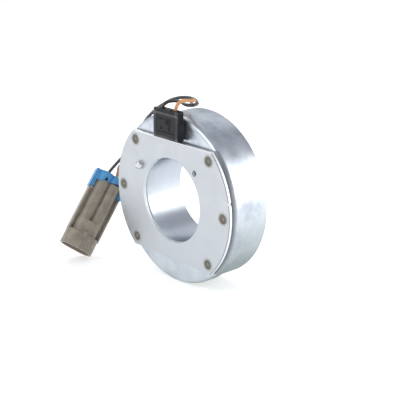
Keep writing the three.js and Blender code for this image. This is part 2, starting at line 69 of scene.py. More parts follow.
BORE_RADIUS = 25.5
PLATE = {"radius": 50.5, "thickness": 2.3, "half_height": 36.7, "bevel": 0.36}
NICK = {"angle": 11, "width": 1.4, "depth": 0.6}
PLATE_HOLE = {"x": 20.5, "z": 21.2, "radius": 1.75}
PIN_HOLE = {"x": -28, "z": 16, "radius": 1.9}
SHELL = {
    "back": 2.6,
    "front": 29.6,
    "radius": 50.7,
    "flange_radius": 51.6,
    "flange_end": 11,
    "shoulder": 3,
    "bore_round": 0.5,
    "edge": 0.5,
    "lip": 0.3,
    "channel_inner": 28.7,
    "channel_outer": 47.5,
    "channel_floor": 6.6,
}
WELD = {
    "circle": 45,
    "angles": (0, 43.5, 136.5, 180, 223.5, 316.5),
    "radius": 3.4,
    "root": 1.4,
    "hole": 3.5,
    "pocket": 1.7,
}
WINDOW = {"half_width": 5.5, "low": 39.5, "high": 46.5}
BLOCK = {
    "half_width": 10.45,
    "bottom": 38,
    "top": 55.5,
    "lid": 1.65,
    "front": -4,
    "back": 1.3,
    "boss_back": 2.3,
}
PANEL = {"half_width": 9.15, "half_height": 6.5, "middle": 45.75}
# The round lead has about the section of the CAD's eight-sided one.
LEAD_RADIUS = 0.99
LEAD_X = 6
LEAD_Y = -1

MOUTH = Vector((-68.5, -21.9, -44.5))
ACROSS = Vector((0.491, 0.688, -0.534))
PITCH = 7.8
HOUSING = {
    "half_width": 11,
    "half_depth": 7.7,
    "wall": 1.4,
    "shroud": 10.3,
    "mouth": 8.9,
    "throat": 17,
    "collar": (8.8, 6.9),
    "collar_end": 19.4,
    "rail_end": 40.2,
    "rear": 47.5,
}
LOCK = {
    "half_width": 11.6,
    "half_depth": 3.6,
    "low": 46,
    "plate": 51.3,
    "top": 52.9,
    "arm": 8.9,
    "arm_low": 40.5,
}
# Outlines in x and z, cut through both faces of the lock.
LOCK_CUTS = (
    ((-5.3, 45), (-1.4, 45), (-3.9, 50.3)),
    ((-2.6, 45), (8.8, 45), (8.8, 48.5), (5, 48.5), (-2.6, 47.1)),
)


# ---- camera ----


def add_object(name, data):
    obj = bpy.data.objects.new(name, data)
    bpy.context.scene.collection.objects.link(obj)
    return obj


CAMERA = {
    "azimuth": 48.16,
    "elevation": 18.22,
    "roll": 0.18,
    "distance": 617.98,
    "right": 17.28,
    "up": 0.29,
    "lens": 94.29,
}


def make_camera():
    """A camera that looks towards the origin from the angles above, moved to the right and up."""
    azimuth, elevation, roll = (math.radians(CAMERA[k]) for k in ("azimuth", "elevation", "roll"))
    level = Vector((math.cos(azimuth), math.sin(azimuth), 0))
    outward = Vector((math.sin(azimuth), -math.cos(azimuth), 0))
    back = outward * math.cos(elevation) + Vector((0, 0, math.sin(elevation)))
    upright = back.cross(level)
    right = level * math.cos(roll) + upright * math.sin(roll)
    up = back.cross(right)
    place = right * CAMERA["right"] + up * CAMERA["up"] + back * CAMERA["distance"]
    camera = add_object("camera", bpy.data.cameras.new("camera"))
    turn = Matrix((right, up, back)).transposed().to_4x4()
    camera.matrix_world = Matrix.Translation(place * MM) @ turn
    camera.data.lens = CAMERA["lens"]
    bpy.context.scene.camera = camera


make_camera()


# ---- meshes ----


def arc(centre_x, centre_y, radius, start, end, steps):
    """Points from one angle to another, in degrees."""
    angles = [math.radians(start + (end - start) * i / steps) for i in range(steps + 1)]
    return [(centre_x + radius * math.cos(a), centre_y + radius * math.sin(a)) for a in angles]


def circle(centre_x, centre_y, radius, steps=32):
    return arc(centre_x, centre_y, radius, 0, 360, steps)[:-1]


def rectangle(x, half_x, half_y):
    return [(x + a * half_x, b * half_y) for a, b in ((-1, -1), (1, -1), (1, 1), (-1, 1))]


def rounded(half_x, half_y, radius, centre=(0, 0), steps=6):
    """A rectangle with round corners."""
    x, y = half_x - radius, half_y - radius
    corners = ((x, y, 0), (-x, y, 90), (-x, -y, 180), (x, -y, 270))
    points = []
    for corner_x, corner_y, start in corners:
        points += arc(centre[0] + corner_x, centre[1] + corner_y, radius, start, start + 90, steps)
    return points


def oval(half_x, half_y):
    return rounded(half_x, half_y, min(half_x, half_y) - 0.001, steps=12)


def prism(outline, low, high):
    """An outline in XY raised along Z, as points and faces."""
    count = len(outline)
    points = [(x, y, low) for x, y in outline] + [(x, y, high) for x, y in outline]
    sides = [(i, (i + 1) % count, count + (i + 1) % count, count + i) for i in range(count)]
    return points, [tuple(range(count))[::-1], tuple(range(count, 2 * count)), *sides]


def box(x0, x1, y0, y1, z0, z1):
    return prism([(x0, y0), (x1, y0), (x1, y1), (x0, y1)], z0, z1)


def side_box(side, inner, outer, y0, y1, z0, z1):
    """A box between two distances from the middle, on the side -1 or 1."""
    x0, x1 = sorted((side * inner, side * outer))
    return box(x0, x1, y0, y1, z0, z1)


def taper(outline, tip, low, high):
    """An outline raised along Z, which narrows to the tip's outline at its low end."""
    points, faces = prism(outline, low, high)
    return [(x, y, low) for x, y in tip] + points[len(tip):], faces


def facing(outline, near, far):
    """An outline in XZ with its depth along Y."""
    points, faces = prism(outline, near, far)
    return [(x, z, y) for x, y, z in points], [face[::-1] for face in faces]


def turned(profile, segments, x=0, z=0):
    """(radius, y) pairs turned about the line through (x, z) along Y."""
    count = len(profile)
    points = []
    for i in range(segments):
        angle = 2 * math.pi * i / segments
        points += [(x + r * math.cos(angle), y, z + r * math.sin(angle)) for r, y in profile]
    faces = []
    for i in range(segments):
        near, far = i * count, (i + 1) % segments * count
        for j in range(count):
            after = (j + 1) % count
            faces.append((near + j, near + after, far + after, far + j))
    return points, faces


def turned_on_z(profile, segments, x):
    """(radius, z) pairs turned about the line through (x, 0) along Z."""
    points, faces = turned(profile, segments)
    return [(x + a, c, b) for a, b, c in points], faces


def make_object(name, shape):
    """A clean closed mesh from points and faces, in metres."""
    mesh = bpy.data.meshes.new(name)
    mesh.from_pydata([Vector(p) * MM for p in shape[0]], [], shape[1])
    work = bmesh.new()
    work.from_mesh(mesh)
    bmesh.ops.remove_doubles(work, verts=work.verts, dist=1e-7)
    bmesh.ops.dissolve_degenerate(work, edges=work.edges, dist=1e-7)
    bmesh.ops.recalc_face_normals(work, faces=work.faces)
    work.to_mesh(mesh)
    work.free()
    return add_object(name, mesh)


def bake(obj):
    """Replaces the object's mesh with what its modifiers make of it."""
    evaluated = obj.evaluated_get(bpy.context.evaluated_depsgraph_get())
    mesh = bpy.data.meshes.new_from_object(evaluated)
    obj.modifiers.clear()
    obj.data = mesh


def join(obj, tool, operation="UNION"):
    """Joins the tool to the object, or cuts it away, and removes the tool."""
    modifier = obj.modifiers.new("boolean", "BOOLEAN")
    modifier.operation = operation
    modifier.solver = "EXACT"
    modifier.object = tool
    bake(obj)
    bpy.data.objects.remove(tool)


def combine(name, adds, cuts=()):
    """One solid: the first shape, joined with the others and then cut."""
    obj = make_object(name, adds[0])
    for shape in adds[1:]:
        join(obj, make_object("tool", shape))
    for shape in cuts:
        join(obj, make_object("tool", shape), "DIFFERENCE")
    return obj


def soften(obj, voxel, passes, share):
    """Moulded edges: an even mesh, smoothed, then thinned out again."""
    remesh = obj.modifiers.new("remesh", "REMESH")
    remesh.mode = "VOXEL"
    remesh.voxel_size = voxel * MM
    smooth = obj.modifiers.new("smooth", "SMOOTH")
    smooth.factor = 0.5
    smooth.iterations = passes
    thin = obj.modifiers.new("thin", "DECIMATE")
    thin.ratio = share
    bake(obj)


def shade(obj, degrees):
    """Smooth shading, with edges kept sharp above an angle."""
    work = bmesh.new()
    work.from_mesh(obj.data)
    limit = math.radians(degrees)
    for edge in work.edges:
        edge.smooth = len(edge.link_faces) == 2 and edge.calc_face_angle() < limit
    for face in work.faces:
        face.smooth = True
    work.to_mesh(obj.data)
    work.free()


def settle(obj, material, nodes, body=COIL, degrees=180):
    """Gives a finished piece its shading, material, body and the CAD nodes that it stands for.

    With degrees=None it keeps the shading that it has.
    """
    if degrees is not None:
        shade(obj, degrees)
    obj.data.materials.clear()
    obj.data.materials.append(material)
    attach(obj, body)
    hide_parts(*nodes)
    return obj


# ---- finishes ----


def paint(red, green, blue):
    """A colour from 0 to 255, as the shader takes it."""
    values = [c / 255 for c in (red, green, blue)]
    return (*(c / 12.92 if c <= 0.04045 else ((c + 0.055) / 1.055) ** 2.4 for c in values), 1)


def set_stops(elements, stops):
    """Stops are (place, colour or grey)."""
    while len(elements) < len(stops):
        elements.new(0.5)
    for element, (position, colour) in zip(elements, stops):
        element.position = position
        element.color = colour if isinstance(colour, tuple) else (colour, colour, colour, 1)


class Finish:
    """A material's node graph, built up step by step."""

    def __init__(self, name, **values):
        self.material = bpy.data.materials.new(name)
        self.material.use_nodes = True
        self.tree = self.material.node_tree
        self.shader = self.tree.nodes["Principled BSDF"]
        self.place = self.add("ShaderNodeTexCoord").outputs["Object"]
        self.shade(values)

    def shade(self, values):
        """Sets or links the shader's sockets, which are given in lower case."""
        names = {key: key.replace("_", " ").title().replace("Ior", "IOR") for key in values}
        self.feed(self.shader, {names[key]: value for key, value in values.items()})

    def feed(self, node, inputs):
        """Links each input to a socket, or sets it to a plain value."""
        for key, value in inputs.items():
            if isinstance(value, bpy.types.NodeSocket):
                self.tree.links.new(value, node.inputs[key])
            else:
                node.inputs[key].default_value = value

    def add(self, kind, inputs=None, **settings):
        node = self.tree.nodes.new(kind)
        for key, value in settings.items():
            setattr(node, key, value)
        self.feed(node, inputs or {})
        return node

    def calc(self, operation, *values):
        node = self.add("ShaderNodeMath", operation=operation)
        self.feed(node, dict(enumerate(values)))
        return node.outputs[0]

    def mask(self, *values):
        """The product of several masks."""
        product = values[0]
        for value in values[1:]:
            product = self.calc("MULTIPLY", product, value)
        return product

    def mix(self, first, second, share):
        """Two noises added, with the second one's share of the sum."""
        weighted = self.calc("MULTIPLY", first, 1 - share), self.calc("MULTIPLY", second, share)
        return self.calc("ADD", *weighted)

    def length(self, a, b):
        squares = self.calc("MULTIPLY", a, a), self.calc("MULTIPLY", b, b)
        return self.calc("SQRT", self.calc("ADD", *squares))

    def axis_distance(self):
        """Distance from the bore's axis, in metres."""
        x, _, z = self.parts()
        return self.length(x, z)

    def vector(self, x, y, z):
        return self.add("ShaderNodeCombineXYZ", {"X": x, "Y": y, "Z": z}).outputs[0]

    def parts(self):
        return self.add("ShaderNodeSeparateXYZ", {0: self.place}).outputs

    def noise(self, scale, vector=None, detail=3.0, roughness=0.5):
        place = self.place if vector is None else vector
        inputs = {"Vector": place, "Scale": scale, "Detail": detail, "Roughness": roughness}
        return self.add("ShaderNodeTexNoise", inputs).outputs["Fac"]

    def stretched(self, x, y, z):
        """The object's coordinates, scaled axis by axis."""
        return self.add("ShaderNodeMapping", {"Vector": self.place, "Scale": (x, y, z)}).outputs[0]

    def ramp(self, value, *stops):
        node = self.add("ShaderNodeValToRGB", {"Fac": value})
        set_stops(node.color_ramp.elements, stops)
        return node.outputs["Color"]

    def level(self, value, low, high, to_low, to_high):
        """Takes low to to_low and high to to_high, and goes no further."""
        inputs = {"Value": value, "From Min": low, "From Max": high, "To Min": to_low, "To Max": to_high}
        return self.add("ShaderNodeMapRange", inputs).outputs[0]

    def blend(self, factor, first, second):
        node = self.add("ShaderNodeMix", data_type="RGBA")
        self.feed(node, {0: factor, 6: first, 7: second})
        return node.outputs[2]

    def bump(self, height, strength, distance, under=None):
        """A normal, from a height whose full step is the distance in millimetres."""
        inputs = {"Height": height, "Strength": strength, "Distance": distance * MM}
        if under is not None:
            inputs["Normal"] = under
        return self.add("ShaderNodeBump", inputs).outputs[0]

    def finish(self, **inputs):
        self.shade(inputs)
        return self.material


ZINC_AT_GRAZING = paint(196, 200, 203)


def turned_vector(finish, pitch):
    """Coordinates that change slowly round the axis and quickly along the surface's profile."""
    x, y, z = finish.parts()
    radius = finish.length(x, z)
    round_x = finish.calc("DIVIDE", x, radius)
    round_z = finish.calc("DIVIDE", z, radius)
    along = finish.calc("MULTIPLY", finish.calc("ADD", y, radius), 1 / (pitch * MM))
    return finish.vector(round_x, round_z, along)


def weld_centre(degrees):
    angle = math.radians(degrees)
    return WELD["circle"] * math.cos(angle), WELD["circle"] * math.sin(angle)


def weld_distance(finish):
    """Distance in millimetres to the nearest weld's centre.

    The plate's quarters mirror each other, so the first two welds stand for all six.
    """
    x, _, z = finish.parts()
    across = finish.calc("MULTIPLY", finish.calc("ABSOLUTE", x), 1 / MM)
    height = finish.calc("MULTIPLY", finish.calc("ABSOLUTE", z), 1 / MM)
    found = []
    for degrees in WELD["angles"][:2]:
        centre_x, centre_z = weld_centre(degrees)
        dx = finish.calc("SUBTRACT", across, centre_x)
        dz = finish.calc("SUBTRACT", height, centre_z)
        found.append(finish.length(dx, dz))
    return finish.calc("MINIMUM", *found)


def seam_shadow(finish):
    """1 in the narrow seam round the plate, where shade is painted into the shell's colour: a band on the
    shoulder beside the plate's round edge, and a thin line along its straight edges.
    """
    _, y, z = finish.parts()
    height = finish.calc("ABSOLUTE", z)
    chord = PLATE["half_height"] * MM
    corner = (SHELL["flange_radius"] - SHELL["shoulder"]) * MM
    back = SHELL["back"] * MM
    rim = finish.mask(
        finish.level(finish.axis_distance(), corner, corner + 0.8 * MM, 0, 1),
        finish.level(y, back + 0.6 * MM, back + 2.8 * MM, 1, 0),
        finish.level(height, chord, chord + 0.5 * MM, 1, 0),
    )
    from_edge = finish.calc("ABSOLUTE", finish.calc("SUBTRACT", height, chord))
    line = finish.mask(
        finish.level(from_edge, 0.35 * MM, 0.8 * MM, 0.55, 0),
        finish.level(y, back + 0.1 * MM, back + 0.4 * MM, 1, 0),
    )
    return finish.calc("MAXIMUM", rim, line)


def zinc_turned():
    """Turned steel in bright zinc, with painted shade underneath and in the seam, and painted light in the
    bore.
    """
    f = Finish("zinc_turned", metallic=1.0, specular_tint=ZINC_AT_GRAZING)
    fine = f.noise(1, turned_vector(f, 0.35), detail=2.0)
    coarse = f.noise(1, turned_vector(f, 2.2), detail=3.0, roughness=0.6)
    cloud = f.noise(95, detail=5.0, roughness=0.62)
    stops = (0.32, paint(182, 189, 199)), (0.5, paint(205, 212, 220)), (0.68, paint(219, 225, 231))
    colour = f.ramp(cloud, *stops)
    _, y, z = f.parts()
    # Painted shade: darker and greener towards the bottom, less so next to the back face.
    painted_underside_shade = f.mask(f.level(z, 12 * MM, -46 * MM, 0, 1), f.level(y, 3 * MM, 5.5 * MM, 0.25, 1))
    colour = f.blend(painted_underside_shade, colour, paint(160, 170, 168))
    # Painted light: the inside of the bore is painted an even light tone.
    bored = f.level(f.axis_distance(), (BORE_RADIUS + 0.1) * MM, (BORE_RADIUS + 0.4) * MM, 0.85, 0)
    colour = f.blend(bored, colour, paint(204, 210, 218))
    # Painted shade in the seam round the plate.
    colour = f.blend(f.mask(seam_shadow(f), 0.8), colour, paint(84, 88, 94))
    rough = f.level(f.mix(coarse, cloud, 0.4), 0.3, 0.7, 0.24, 0.4)
    normal = f.bump(coarse, 0.4, 0.03, f.bump(fine, 0.35, 0.02))
    return f.finish(base_color=colour, roughness=rough, normal=normal)


def zinc_plate():
    """Sheet steel in dull zinc: browned round the welds, its edges painted bright (partly the cut steel,
    partly a painted highlight), a painted highlight along its top edge, and painted shade as a dark line at
    the rim.
    """
    f = Finish("zinc_plate", metallic=1.0, specular_tint=ZINC_AT_GRAZING)
    grain = f.noise(1600, f.stretched(1, 1, 0.35), detail=4.0, roughness=0.65)
    cloud = f.noise(70, detail=6.0, roughness=0.6)
    scratch = f.noise(1, f.stretched(60, 60, 2600), detail=2.0)
    stops = (0.3, paint(195, 199, 203)), (0.52, paint(202, 206, 210)), (0.72, paint(209, 213, 216))
    _, y, z = f.parts()
    base = f.blend(f.level(z, 20 * MM, -45 * MM, 0, 0.5), f.ramp(cloud, *stops), paint(190, 196, 200))
    ragged = f.calc("ADD", weld_distance(f), f.level(f.noise(700, detail=3.0), 0.3, 0.7, -0.6, 0.6))
    halo = f.ramp(f.level(ragged, 3.0, 4.7, 0, 1), (0.0, 0.36), (0.35, 0.2), (1.0, 0.0))
    colour = f.blend(halo, base, paint(138, 137, 129))
    # The plate's edges are painted near white: partly the cut steel's own brightness, partly a painted
    # highlight.
    cut_edge_and_highlight = f.level(y, 0.03 * MM, 0.22 * MM, 0, 1)
    colour = f.blend(cut_edge_and_highlight, colour, paint(242, 244, 246))
    # Painted shade: a dark line on the front bevel of the round rim.
    rim, bevel = PLATE["radius"] * MM, PLATE["bevel"] * MM
    painted_rim_shade = f.mask(
        f.level(f.axis_distance(), rim - 0.4 * MM, rim - 0.3 * MM, 0, 0.75),
        f.level(y, bevel, bevel + 0.14 * MM, 1, 0),
    )
    colour = f.blend(painted_rim_shade, colour, paint(112, 116, 122))
    # A painted highlight along the plate's top straight edge.
    top_edge = PLATE["half_height"] * MM
    painted_edge_highlight = f.level(z, top_edge - 0.85 * MM, top_edge - 0.45 * MM, 0, 0.9)
    colour = f.blend(painted_edge_highlight, colour, paint(244, 246, 248))
    even = f.level(f.mix(grain, cloud, 0.6), 0.3, 0.7, 0.34, 0.5)
    rough = f.calc("MAXIMUM", even, f.mask(cut_edge_and_highlight, 0.6))
    normal = f.bump(grain, 0.2, 0.02, f.bump(scratch, 0.08, 0.01))
    return f.finish(base_color=colour, roughness=rough, normal=normal)


def weld_steel():
    """Browned weld metal, with a dark ring inside a lighter rim."""
    f = Finish("weld_steel", metallic=0.75)
    ragged = f.calc("ADD", weld_distance(f), f.level(f.noise(1400, detail=4.0), 0.3, 0.7, -0.5, 0.5))
    stops = (
        (0.0, paint(142, 140, 134)),
        (0.35, paint(120, 117, 107)),
        (0.68, paint(104, 100, 88)),
        (0.86, paint(150, 149, 143)),
        (1.0, paint(184, 186, 186)),
    )
    colour = f.ramp(f.level(ragged, 0, 3.4, 0, 1), *stops)
    grain = f.noise(2500, detail=4.0)
    rough = f.level(grain, 0.3, 0.7, 0.4, 0.62)
    return f.finish(base_color=colour, roughness=rough, normal=f.bump(grain, 0.4, 0.05))


def bright_steel():
    """Polished steel with a trace of wear."""
    f = Finish("bright_steel", metallic=1.0)
    grain = f.noise(1200, detail=3.0)
    colour = f.ramp(grain, (0.3, paint(205, 208, 211)), (0.7, paint(226, 228, 230)))
    rough = f.level(grain, 0.3, 0.7, 0.14, 0.28)
    return f.finish(base_color=colour, roughness=rough, normal=f.bump(grain, 0.1, 0.02))


def moulded(name, dark, light, smooth, rough, speckle=2200, depth=0.02, **values):
    """A moulded plastic: cloudy between two colours, with a fine speckle and an uneven gloss."""
    f = Finish(name, **values)
    cloud = f.noise(180, detail=5.0, roughness=0.6)
    grain = f.noise(speckle, detail=3.0, roughness=0.7)
    mixed = f.mix(cloud, grain, 0.3)
    colour = f.ramp(mixed, (0.35, dark), (0.65, light))
    return f.finish(
        base_color=colour,
        roughness=f.level(mixed, 0.3, 0.7, smooth, rough),
        normal=f.bump(grain, 0.3, depth),
    )


def block_nylon():
    """Black nylon, with highlights painted as grey lines along the edges of the block's front frame."""
    f = Finish("black_nylon", specular_ior_level=0.3)
    grain = f.noise(2600, detail=3.0, roughness=0.7)
    cloud = f.noise(180, detail=5.0, roughness=0.6)
    mixed = f.mix(cloud, grain, 0.4)
    colour = f.ramp(mixed, (0.35, paint(18, 18, 21)), (0.65, paint(32, 32, 36)))
    x, y, z = f.parts()
    across = f.calc("ABSOLUTE", x)
    height = f.calc("ABSOLUTE", f.calc("SUBTRACT", z, PANEL["middle"] * MM))
    half_x, half_z = PANEL["half_width"], PANEL["half_height"]
    lines = (across, half_x + 1.05), (across, half_x), (height, half_z + 0.9), (height, half_z)
    edges = 0
    for place, edge in lines:
        away = f.calc("ABSOLUTE", f.calc("SUBTRACT", place, edge * MM))
        edges = f.calc("MAXIMUM", edges, f.level(away, 0.15 * MM, 0.42 * MM, 1, 0))
    in_front = f.level(y, -3.5 * MM, -3.2 * MM, 1, 0)
    # Painted highlights along the frame's edges, broken up by the cloud.
    painted_edge_highlight = f.mask(edges, in_front, f.level(cloud, 0.35, 0.6, 0.25, 0.8))
    colour = f.blend(painted_edge_highlight, colour, paint(112, 112, 118))
    rough = f.level(mixed, 0.3, 0.7, 0.3, 0.46)
    return f.finish(base_color=colour, roughness=rough, normal=f.bump(grain, 0.3, 0.03))


def wound_copper():
    """Enamelled wire, with its turns as ripples round the axis."""
    f = Finish("enamelled_copper", metallic=0.9)
    wire = 0.6 * MM
    along = f.calc("ADD", f.parts()[1], f.axis_distance())
    turns = f.calc("SINE", f.calc("MULTIPLY", along, 2 * math.pi / wire))
    colour = f.ramp(f.noise(300, detail=3.0), (0.3, paint(150, 78, 38)), (0.7, paint(196, 112, 62)))
    rough = f.level(turns, -1, 1, 0.45, 0.25)
    return f.finish(base_color=colour, roughness=rough, normal=f.bump(turns, 0.8, 0.2))


def woven_tape():
    """Varnished tape, woven from threads that run two ways."""
    f = Finish("winding_tape")
    x, y, _ = f.parts()
    threads = 4200
    weave = f.mask(*(f.calc("SINE", f.calc("MULTIPLY", side, threads)) for side in (y, x)))
    cloud = f.noise(250, detail=4.0)
    colour = f.ramp(cloud, (0.3, paint(176, 142, 60)), (0.7, paint(212, 178, 92)))
    rough = f.level(cloud, 0.3, 0.7, 0.35, 0.55)
    return f.finish(base_color=colour, roughness=rough, normal=f.bump(weave, 0.4, 0.06))


def cast_resin():
    """Dark potting resin, with flow marks and small pits under a thin gloss."""
    f = Finish("potting_resin", coat_weight=0.3)
    flow = f.noise(130, detail=4.0, roughness=0.6)
    pits = f.noise(900, detail=2.0)
    colour = f.ramp(flow, (0.3, paint(24, 30, 29)), (0.7, paint(40, 47, 45)))
    normal = f.bump(flow, 0.5, 0.5, f.bump(pits, 0.15, 0.05))
    return f.finish(base_color=colour, roughness=f.level(flow, 0.3, 0.7, 0.18, 0.38), normal=normal)


ZINC_TURNED = zinc_turned()
ZINC_PLATE = zinc_plate()
WELD_STEEL = weld_steel()
BRIGHT_STEEL = bright_steel()
TINNED = moulded(
    "tinned_terminal", paint(176, 178, 176), paint(214, 214, 208), 0.22, 0.36, metallic=1.0
)
BLACK_NYLON = block_nylon()
DIODE_EPOXY = moulded("diode_epoxy", paint(20, 20, 22), paint(34, 34, 36), 0.3, 0.45)
NATURAL_NYLON = moulded("natural_nylon", paint(205, 197, 172), paint(228, 221, 200), 0.4, 0.55)
GROMMET_RUBBER = moulded("grommet_rubber", paint(46, 47, 49), paint(70, 71, 74), 0.7, 0.85)
SEAL_SILICONE = moulded("seal_silicone", paint(158, 66, 36), paint(186, 88, 52), 0.5, 0.65)
GREY_PLASTIC = moulded(
    "grey_connector_plastic", paint(130, 122, 109), paint(158, 149, 134), 0.28, 0.4, speckle=1800
)
BLUE_PLASTIC = moulded("blue_lock_plastic", paint(60, 134, 188), paint(84, 158, 210), 0.32, 0.46)
BLACK_PVC = moulded(
    "black_lead_insulation", paint(20, 20, 22), paint(34, 34, 38), 0.24, 0.34,
    speckle=1500, specular_ior_level=1.0,
)
TAN_PVC = moulded(
    "tan_lead_insulation", paint(196, 138, 92), paint(218, 162, 116), 0.3, 0.45,
    speckle=1500, depth=0.03,
)
COPPER = wound_copper()
TAPE = woven_tape()
RESIN = cast_resin()


# ---- leads ----


def add_line(curve, points, closed):
    spline = curve.splines.new("POLY")
    spline.points.add(len(points) - 1)
    spline.use_cyclic_u = closed
    for point, place in zip(spline.points, points):
        point.co = (*place, 1)


# The CAD leads' own centre lines, in metres, from the splice in the block to the wire seal.
BLACK_ROUTE = [
    (-0.006, -0.001, 0.0482), (-0.006, -0.001, 0.0525), (-0.0059, -0.0009, 0.0556),
    (-0.0052, 0.0008, 0.0578), (-0.0038, 0.0036, 0.0587), (-0.0014, 0.0058, 0.0589),
    (0.002, 0.0064, 0.0587), (0.0056, 0.0054, 0.0585), (0.0088, 0.0052, 0.0583), (0.0114, 0.0072, 0.0583),
    (0.0112, 0.0104, 0.0585), (0.0085, 0.013, 0.0587), (0.0048, 0.0154, 0.0588), (0.0004, 0.017, 0.0589),
    (-0.0046, 0.0168, 0.0588), (-0.0094, 0.0152, 0.0581), (-0.0139, 0.0129, 0.0564),
    (-0.019, 0.0116, 0.0534), (-0.025, 0.012, 0.05), (-0.0308, 0.0132, 0.0465), (-0.0372, 0.0137, 0.0415),
    (-0.0446, 0.0154, 0.0349), (-0.052, 0.0179, 0.0282), (-0.059, 0.0192, 0.0214), (-0.065, 0.0204, 0.0152),
    (-0.0697, 0.0201, 0.0097), (-0.0725, 0.018, 0.0056), (-0.0745, 0.015, 0.0017),
    (-0.0754, 0.0124, -0.0012), (-0.0754, 0.0093, -0.0041), (-0.0752, 0.0066, -0.0067),
    (-0.0748, 0.0042, -0.0094), (-0.0744, 0.0015, -0.0125),
]
TAN_ROUTE = [
    (0.006, -0.001, 0.0482), (0.006, -0.001, 0.0525), (0.0061, -0.001, 0.0556), (0.0067, -0.0009, 0.058),
    (0.0079, -0.0004, 0.06), (0.0097, 0.0008, 0.0615), (0.012, 0.0022, 0.062), (0.0137, 0.0043, 0.0619),
    (0.013, 0.007, 0.0615), (0.01, 0.009, 0.0608), (0.0066, 0.0109, 0.0594), (0.003, 0.0135, 0.0574),
    (-0.0006, 0.017, 0.0563), (-0.005, 0.0197, 0.0572), (-0.0096, 0.0194, 0.0576), (-0.0142, 0.0172, 0.0567),
    (-0.019, 0.0153, 0.0544), (-0.025, 0.0152, 0.0504), (-0.0306, 0.0159, 0.0454), (-0.0363, 0.0162, 0.0397),
    (-0.0438, 0.0158, 0.0322), (-0.051, 0.0168, 0.0254), (-0.057, 0.0188, 0.0192), (-0.0622, 0.0204, 0.013),
    (-0.0669, 0.0209, 0.0075), (-0.0704, 0.0196, 0.0037), (-0.0725, 0.0177, 0.0013),
    (-0.0725, 0.0165, -0.0025), (-0.0723, 0.0151, -0.0058), (-0.0718, 0.0135, -0.0086),
    (-0.0713, 0.0115, -0.0113), (-0.0709, 0.0093, -0.0139), (-0.0706, 0.0069, -0.0166),
]
STEPS_PER_SPAN = 14


def smooth_line(route):
    """A centripetal Catmull-Rom curve through the route's points, held straight at both ends."""
    points = [Vector(p) for p in route]
    points = [2 * points[0] - points[1], *points, 2 * points[-1] - points[-2]]
    line = []
    for p0, p1, p2, p3 in zip(points, points[1:], points[2:], points[3:]):
        d0, d1, d2 = (math.sqrt((b - a).length) for a, b in ((p0, p1), (p1, p2), (p2, p3)))
        leave = ((p1 - p0) / d0 - (p2 - p0) / (d0 + d1) + (p2 - p1) / d1) * d1
        arrive = ((p2 - p1) / d1 - (p3 - p1) / (d1 + d2) + (p3 - p2) / d2) * d1
        for i in range(STEPS_PER_SPAN):
            s = i / STEPS_PER_SPAN
            square = -3 * p1 + 3 * p2 - 2 * leave - arrive
            cube = 2 * p1 - 2 * p2 + leave + arrive
            line.append(p1 + leave * s + square * s**2 + cube * s**3)
    return [*line, points[-2]]


def make_lead(name, route, material):
    """The lead, and its length in metres."""
    line = smooth_line(route)
    curve = bpy.data.curves.new(name, "CURVE")
    curve.dimensions = "3D"
    curve.bevel_depth = LEAD_RADIUS * MM
    curve.bevel_resolution = 6
    curve.use_fill_caps = True
    add_line(curve, line, closed=False)
    curve.materials.append(material)
    lead = add_object(name + "_wire", curve)
    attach(lead, COIL)
    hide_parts(name)
    return lead, sum((b - a).length for a, b in zip(line, line[1:]))


black_lead, black_length = make_lead("lead_black", BLACK_ROUTE, BLACK_PVC)
tan_lead, tan_length = make_lead("lead_tan", TAN_ROUTE, TAN_PVC)


# ---- steel parts ----


def weld_holes():
    return [circle(*weld_centre(degrees), WELD["hole"]) for degrees in WELD["angles"]]


def even_flats(obj):
    """Normals weighted towards the large faces, so that flat ones stay flat next to a small edge."""
    shade(obj, 35)
    weighted = obj.modifiers.new("weighted", "WEIGHTED_NORMAL")
    weighted.keep_sharp = True
    weighted.weight = 90
    bake(obj)


def make_shell():
    """A ring with a channel open to the front, pockets for the welds and a window for the coil's tails."""
    back, front, floor = SHELL["back"], SHELL["front"], SHELL["channel_floor"]
    flange, flange_end, radius = SHELL["flange_radius"], SHELL["flange_end"], SHELL["radius"]
    inner, outer = SHELL["channel_inner"], SHELL["channel_outer"]
    shoulder, small, edge, lip = (SHELL[key] for key in ("shoulder", "bore_round", "edge", "lip"))
    profile = [
        *arc(flange - shoulder, back + shoulder, shoulder, -90, 0, 16),
        *arc(flange - lip, flange_end - lip, lip, 0, 90, 4),
        (radius, flange_end),
        *arc(radius - edge, front - edge, edge, 0, 90, 6),
        *arc(outer + lip, front - lip, lip, 90, 180, 4),
        (outer, floor),
        (inner, floor),
        *arc(inner - lip, front - lip, lip, 0, 90, 4),
        *arc(BORE_RADIUS + edge, front - edge, edge, 90, 180, 6),
        *arc(BORE_RADIUS + small, back + small, small, 180, 270, 10),
    ]
    pockets = [facing(outline, back - 1, back + WELD["pocket"]) for outline in weld_holes()]
    reach, low, high = WINDOW["half_width"], WINDOW["low"], WINDOW["high"]
    window = box(-reach, reach, back - 1, floor + 1, low, high)
    shell = combine("shell", [turned(profile, 240)], [*pockets, window])
    even_flats(shell)
    return settle(shell, ZINC_TURNED, ["field_shell"], degrees=None)


def plate_outline():
    """A circle with two straight edges, and a nick in its rim."""
    radius = PLATE["radius"]
    reach = math.degrees(math.asin(PLATE["half_height"] / radius))
    half = math.degrees(NICK["width"] / 2 / radius)
    floor = radius - NICK["depth"]
    return [
        *arc(0, 0, radius, -reach, NICK["angle"] - half, 64),
        *arc(0, 0, floor, NICK["angle"] - half * 0.7, NICK["angle"] + half * 0.7, 3),
        *arc(0, 0, radius, NICK["angle"] + half, reach, 48),
        *arc(0, 0, radius, 180 - reach, 180 + reach, 110),
    ]


